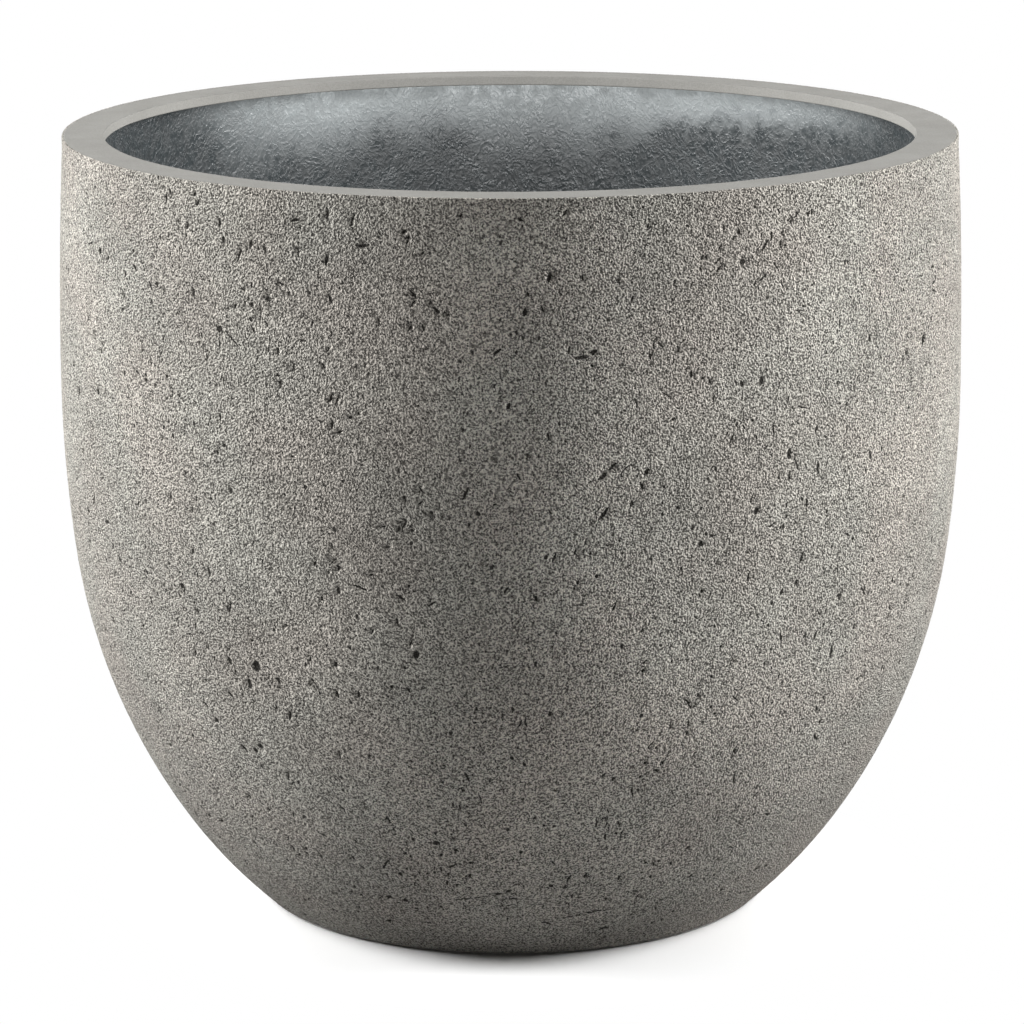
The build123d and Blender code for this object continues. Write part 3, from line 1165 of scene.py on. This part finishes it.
@dataclass
class Skin:
    """Clay skin of the pot, in sector panels so that its grain and pits can be modelled finely."""

    outline: Outline
    view: Viewpoint
    finish: EtchedClay = field(default_factory=EtchedClay)
    panels: int = 6
    columns: int = 1140
    wall_step: float = 1.6 * MM
    under_step: float = 4.5 * MM
    thickness: float = 9 * MM
    floor: float = 14 * MM
    drain_radius: float = 14 * MM
    base_round: float = 1.5 * MM
    rim_round: float = 0.6 * MM
    lip_margin: float = 1.2 * MM
    lip_thickness: float = 6.3 * MM
    hidden_step: float = 14 * MM
    crisp_edge: float = 4 * MM
    wear: tuple[tuple[float, float, int], ...] = ((0.16, 85, 1), (0.07, 11, 2), (0.10, 3.1, 3))
    seen_length: float = 0.58
    seen_width: float = 0.7
    seen_bend: float = 30

    def section(self) -> tuple[Section, int, int]:
        """Walks the skin's section from the drain hole out, up the wall, into the lip's seat and back.

        Returns:
            The section, and the rows at which the wall starts and ends.
        """
        line, inner = self.outline, self.thickness
        low_lean = line.lean_at(line.base + self.base_round, self.base_round)
        low_centre = line.points(low_lean, self.base_round)
        top_lean = line.lean_at(line.rim - self.rim_round, self.rim_round)
        top_centre = line.points(top_lean, self.rim_round)
        seat = line.rim - self.lip_thickness
        ledge = line.wall(line.lean_at(line.rim, self.lip_margin), line.lean_at(seat, self.lip_margin),
                          self.lip_margin, 2 * MM)
        back = line.wall(line.lean_at(seat, inner), line.lean_at(line.base + self.floor, inner), inner,
                         self.hidden_step)
        under = straight((self.drain_radius, line.base), (low_centre[0], line.base), self.under_step)
        wall = line.wall(low_lean, top_lean, 0.0, self.wall_step)
        shown = [
            under,
            rounded(low_centre, self.base_round, -90, -math.degrees(low_lean)),
            wall,
            rounded(top_centre, self.rim_round, -math.degrees(top_lean), 90),
            straight((top_centre[0], line.rim), tuple(ledge[0]), 0.3 * MM),
            ledge,
            straight(tuple(ledge[-1]), tuple(back[0]), 2 * MM),
        ]
        hidden = [
            back,
            straight(tuple(back[-1]), (self.drain_radius, line.base + self.floor), 3 * self.hidden_step),
            straight((self.drain_radius, line.base + self.floor), (self.drain_radius, line.base), self.floor),
        ]
        start = len(under) - 1 + len(shown[1]) - 1
        return Section.joined(shown, hidden), start, start + len(wall) - 1

    def marks(self, section: Section, low: int, high: int) -> list[Mark]:
        """Gathers the marks seen on the front, and seeded ones all round.

        Args:
            section: the skin's section.
            low: row at which the wall starts.
            high: row at which it ends.

        Returns:
            The marks, the seen ones first.
        """
        heights = section.points[low:high, 1]
        along = section.along[low:high]
        random = np.random.default_rng(7)
        groups = {MarkKind.PIT: SEEN_PITS, MarkKind.CRACK: SEEN_CRACKS, MarkKind.HAIRLINE: SEEN_HAIRLINES}
        found = []
        for kind, seen in groups.items():
            for across, down, lean, length, width in seen:
                azimuth, height = self.view.spot_on_wall(across, down, self.outline)
                bend = random.normal(0, self.seen_bend) if kind is not MarkKind.PIT else 0.0
                place = float(np.interp(height, heights, along))
                half = (length * MM * self.seen_length, width * MM * self.seen_width)
                found.append(Mark(azimuth, place, math.radians(lean), *half, kind, bend))
        scattered = Scatter().marks(self.outline.belly_radius, along[0] + 3 * MM, along[-1] - 3 * MM)
        return found + scattered

    def relief(self, turning: Turning, low: int, high: int, carved: np.ndarray) -> np.ndarray:
        """Works out how far the skin is eaten away: soft waves, lumps and grain, and the marks.

        The layers of wear fade out towards the edges, which are crisp.

        Args:
            turning: the skin's turning.
            low: row at which the wall starts.
            high: row at which it ends.
            carved: depth of the marks.

        Returns:
            Height of each point over the true outline, never above 0.
        """
        places = turning.surface()[low:high]
        along = turning.section.along[low:high]
        edge = eased(along - along[0], 0, self.crisp_edge) * eased(along[-1] - along, 0, self.crisp_edge)
        raised = np.zeros_like(carved)
        raised[low:high] = -edge[:, None] * worn(places, self.wear) - carved[low:high]
        return raised

    def build(self) -> list[bpy.types.Object]:
        """Makes the panels, dresses them and returns them."""
        section, low, high = self.section()
        turning = Turning(section, self.columns, -math.pi / self.panels)
        field_of_marks = MarkField(turning, low + 2, high - 2)
        for mark in self.marks(section, low, high):
            field_of_marks.stamp(mark)
        places = turning.surface(self.relief(turning, low, high, field_of_marks.carved))
        extras = {"mark_place": field_of_marks.place, "mark_sort": field_of_marks.sort}
        material = self.finish.material()
        panels = cut_panels("skin_panel", self.panels, places, section, extras)
        for panel in panels:
            dress(panel, material, "outer_shell")
        return panels


@dataclass
class Lip:
    """Smooth flat ring that caps the wall and overhangs the inside."""

    outline: Outline
    finish: SmoothClay = field(default_factory=SmoothClay)
    width: float = 26.1 * MM
    thickness: float = 6.3 * MM
    margin: float = 1.2 * MM
    edge_round: float = 0.8 * MM
    columns: int = 960
    wear: tuple[tuple[float, float, int], ...] = ((0.10, 60, 11), (0.035, 9, 12))

    @property
    def opening(self) -> float:
        """Radius of the mouth."""
        rim = self.outline.points(self.outline.lean_at(self.outline.rim))
        return float(rim[0]) - self.width

    def section(self) -> Section:
        """Walks the ring's section: up its outer face, across its top, down the mouth and back."""
        line, soft = self.outline, self.edge_round
        seat = line.rim - self.thickness
        outer = line.wall(line.lean_at(seat, self.margin), line.lean_at(line.rim, self.margin), self.margin,
                          1 * MM)
        top_centre = (self.opening + soft, line.rim - soft)
        low_centre = (self.opening + soft, seat + soft)
        shown = [
            outer,
            straight(tuple(outer[-1]), (self.opening + soft, line.rim), 1.1 * MM),
            rounded(top_centre, soft, 90, 180, 6),
            straight((self.opening, line.rim - soft), (self.opening, seat + soft), 0.9 * MM),
            rounded(low_centre, soft, 180, 270, 4),
        ]
        hidden = [straight((self.opening + soft, seat), tuple(outer[0]), 4 * MM)]
        return Section.joined(shown, hidden)

    def build(self) -> bpy.types.Object:
        """Makes the ring, whose top is a little uneven, dresses it and returns it."""
        section = self.section()
        turning = Turning(section, self.columns)
        places = turning.surface()
        weight = np.zeros(len(section.points))
        weight[:section.shown] = 1.0
        outer = section.points[:, 0].max()
        inward = eased(section.points[:, 0], outer - 0.1 * MM, outer - 2 * MM)
        places = turning.surface(-worn(places, self.wear) * (weight * inward)[:, None])
        patch = Patch(places, surface_normals(places), section.shown, section.along, True)
        ring = patch.made("smooth_lip")
        dress(ring, self.finish.material(), "rim_ring")
        return ring


@dataclass
class Lining:
    """Dark coat inside the pot, in sector panels, with brush ridges and mat wrinkles modelled."""

    outline: Outline
    lip: Lip
    panels: int = 4
    columns: int = 752
    step: float = 2.3 * MM
    outer_inset: float = 12 * MM
    inner_inset: float = 14 * MM
    outer_floor: float = 17 * MM
    inner_floor: float = 19 * MM
    drain_radius: float = 14 * MM
    hidden_step: float = 16 * MM

    def section(self) -> Section:
        """Walks the coat's section: down its inside, across its floor, and back up the hidden side."""
        line = self.outline
        seat = line.rim - self.lip.thickness
        floor, under = line.base + self.inner_floor, line.base + self.outer_floor
        inside = line.wall(line.lean_at(seat, self.inner_inset), line.lean_at(floor, self.inner_inset),
                           self.inner_inset, self.step)
        behind = line.wall(line.lean_at(under, self.outer_inset), line.lean_at(seat, self.outer_inset),
                           self.outer_inset, self.hidden_step)
        shown = [inside, straight(tuple(inside[-1]), (self.drain_radius, floor), 1.5 * self.step)]
        hidden = [
            straight((self.drain_radius, floor), (self.drain_radius, under), 2 * MM),
            straight((self.drain_radius, under), tuple(behind[0]), 3 * self.hidden_step),
            behind,
            straight(tuple(behind[-1]), tuple(inside[0]), 2 * MM),
        ]
        return Section.joined(shown, hidden)

    def wrinkles(self, turning: Turning) -> np.ndarray:
        """Works out the coat's ridges: 1 minus the size of warped noise, sharpened, in two sizes.

        Where noise crosses 0 a ridge runs. The points are first pushed about by slower noise, so
        that ridges curl, and squeezed in height, so that most of them run down the wall.

        Args:
            turning: the coat's turning.

        Returns:
            Height of each point over the true surface.
        """
        section = turning.section
        places = turning.surface()[:section.shown]
        push = np.stack([lattice_noise(places, 46 * MM, seed) for seed in (21, 22, 23)], axis=-1)
        curled = (places + 16 * MM * push) * [1, 1, 0.6]
        large = (1 - np.abs(lattice_noise(curled, 15 * MM, 24))).clip(0) ** 6
        small = (1 - np.abs(lattice_noise(curled, 6.5 * MM, 25))).clip(0) ** 4
        patchy = eased(lattice_noise(places, 60 * MM, 26), -0.5, 0.5)
        soft = lattice_noise(places, 34 * MM, 27)
        fine = lattice_noise(places * [1, 1, 0.5], 4.6 * MM, 28)
        raised = MM * (0.30 * large * patchy + 0.12 * small + 0.36 * soft + 0.10 * fine - 0.2)
        edge = eased(section.along[:section.shown], 0, 6 * MM)
        clear = eased(section.points[:section.shown, 0], 26 * MM, 40 * MM)
        full = np.zeros((len(section.points), turning.columns))
        full[:section.shown] = raised * (edge * clear)[:, None]
        return full

    def build(self) -> list[bpy.types.Object]:
        """Makes the panels, dresses them and returns them."""
        section = self.section()
        turning = Turning(section, self.columns, math.radians(45))
        places = turning.surface(self.wrinkles(turning))
        material = BrushedCoat(self.outline.rim - self.lip.thickness).material()
        panels = cut_panels("lining_panel", self.panels, places, section, {})
        for panel in panels:
            dress(panel, material, "inner_lining")
        return panels


@dataclass
class CarriedOver:
    """CAD pieces whose shape is right, and which only get their finish."""

    finishes: dict[str, FibreMat | Moulded] = field(default_factory=lambda: {
        "fibre_layer": FibreMat(),
        "drain_sleeve": Moulded("drain_plastic", (0.030, 0.030, 0.032), roughness=0.42),
        "drain_plug": Moulded("plug_rubber", (0.022, 0.022, 0.022), roughness=0.62),
        "foot_pad": Moulded("pad_rubber", (0.026, 0.026, 0.026), roughness=0.70),
    })

    def build(self) -> list[bpy.types.Object]:
        """Gives each piece the finish whose name its own starts with.

        Returns:
            The pieces.
        """
        dressed = []
        for start, finish in self.finishes.items():
            material = finish.material()
            for name, piece in sorted(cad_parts.items()):
                if name.startswith(start):
                    piece.data.materials.clear()
                    piece.data.materials.append(material)
                    dressed.append(piece)
        return dressed


def dress(piece: bpy.types.Object, material: bpy.types.Material, node: str) -> None:
    """Gives a new piece its material, hangs it on the planter's body and hides the CAD node that it stands
    for.

    Args:
        piece: the new piece.
        material: its material.
        node: CAD node that it stands for.
    """
    piece.data.materials.append(material)
    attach(piece, "planter")
    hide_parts(node)


# Studio

@dataclass(frozen=True)
class Softbox:
    """A soft square lamp.

    Attributes:
        name: name of the lamp.
        place: where its middle is.
        aim: point that it faces.
        width: size across.
        height: size the other way.
        watts: strength.
    """

    name: str
    place: Place
    aim: Place
    width: float
    height: float
    watts: float

    def lit(self) -> bpy.types.Object:
        """Makes the lamp and returns it."""
        data = bpy.data.lights.new(self.name, "AREA")
        data.shape = "RECTANGLE"
        data.size, data.size_y = self.width, self.height
        data.energy = self.watts
        lamp = bpy.data.objects.new(self.name, data)
        away = Vector(self.place) - Vector(self.aim)
        lamp.matrix_world = Matrix.Translation(self.place) @ away.to_track_quat("Z", "Y").to_matrix().to_4x4()
        lamp.visible_camera = False
        bpy.context.scene.collection.objects.link(lamp)
        return lamp


@dataclass
class Studio:
    """Floor, lamps and surroundings."""

    view: Viewpoint
    softboxes: tuple[Softbox, ...] = (
        Softbox("right_side", (2.4, -0.30, 1.55), (0, -0.05, 0.3), 0.9, 1.4, 88.0),
        Softbox("left_side", (-2.4, -0.12, 1.55), (0, -0.05, 0.3), 0.9, 1.4, 96.0),
        Softbox("right_rear", (1.6, 2.0, 1.2), (0, 0, 0.3), 1.0, 1.0, 16.0),
        Softbox("left_rear", (-1.6, 2.0, 1.2), (0, 0, 0.3), 1.0, 1.0, 16.0),
        Softbox("in_mouth", (0, -0.06, 0.45), (0.02, 0.26, 0.445), 0.3, 0.05, 0.75),
    )
    ambient: float = 0.015
    floor_half: float = 12.0
    shadow_from: float = 0.16
    shadow_to: float = 0.262
    floor_tone: float = 0.45
    floor_seen: float = 1.3

    def floor(self) -> bpy.types.Object:
        """Makes the pale floor, which shows its shadow near the pot and fades to white further out."""
        mesh = bpy.data.meshes.new("floor")
        half = self.floor_half
        corners = np.array([(-half, -half, 0), (half, -half, 0), (half, half, 0), (-half, half, 0)])
        mesh.from_pydata(corners.tolist(), [], [(0, 1, 2, 3)])
        made = bpy.data.objects.new("floor", mesh)
        bpy.context.scene.collection.objects.link(made)
        material, w = new_material("pale_floor")
        where = w.object_place()
        away = w.node("ShaderNodeVectorMath", {0: where}, operation="LENGTH").outputs["Value"]
        blank = w.remap(away, self.shadow_from, self.shadow_to)
        camera_ray = w.node("ShaderNodeLightPath").outputs["Is Camera Ray"]
        plain, bright = (
            w.node("ShaderNodeBsdfDiffuse", {"Color": (tone, tone, tone, 1)}).outputs[0]
            for tone in (self.floor_tone, self.floor_seen)
        )
        white = w.node("ShaderNodeEmission", {"Color": (1, 1, 1, 1), "Strength": 1.0}).outputs[0]
        seen = w.node("ShaderNodeMixShader", {0: blank, 1: bright, 2: white}).outputs[0]
        lit = w.node("ShaderNodeMixShader", {0: w.mirrored(), 1: plain, 2: white}).outputs[0]
        either = w.node("ShaderNodeMixShader", {0: camera_ray, 1: lit, 2: seen}).outputs[0]
        w.node("ShaderNodeOutputMaterial", {"Surface": either})
        mesh.materials.append(material)
        return made

    def surroundings(self) -> None:
        """Makes the world white to the eye and to reflections, and a dim grey to everything else."""
        world = bpy.data.worlds.new("studio")
        bpy.context.scene.world = world
        world.use_nodes = True
        world.node_tree.nodes.clear()
        w = Wiring(world.node_tree)
        plain = w.math("MAXIMUM", w.node("ShaderNodeLightPath").outputs["Is Camera Ray"], w.mirrored())
        strength = w.math("MULTIPLY_ADD", plain, 1 - self.ambient, self.ambient)
        light = w.node("ShaderNodeBackground", {"Color": (1, 1, 1, 1), "Strength": strength})
        w.node("ShaderNodeOutputWorld", {"Surface": light.outputs[0]})

    def build(self) -> None:
        """Sets up the whole studio."""
        bpy.context.scene.view_settings.view_transform = "Standard"
        self.view.placed()
        self.floor()
        self.surroundings()
        for softbox in self.softboxes:
            softbox.lit()


def triangles(piece: bpy.types.Object) -> int:
    """Number of triangles in a piece's mesh."""
    return len(piece.data.loops) - 2 * len(piece.data.polygons)


def main() -> None:
    """Builds the planter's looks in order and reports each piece."""
    logging.basicConfig(level=logging.INFO, format="%(name)s: %(message)s")
    low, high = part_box("outer_shell")
    outline = Outline(base=low.z, rim=high.z, belly_radius=(high.x - low.x) / 2)
    view = Viewpoint()
    Studio(view).build()
    lip = Lip(outline)
    pieces = [*Skin(outline, view).build(), lip.build(), *Lining(outline, lip).build()]
    pieces += CarriedOver().build()
    for piece in pieces:
        worn_by = piece.data.materials[0].name
        LOG.info("%s has %d triangles and wears %s", piece.name, triangles(piece), worn_by)
    LOG.info("%d triangles in all", sum(map(triangles, pieces)))


if __name__ == "__main__":
    main()
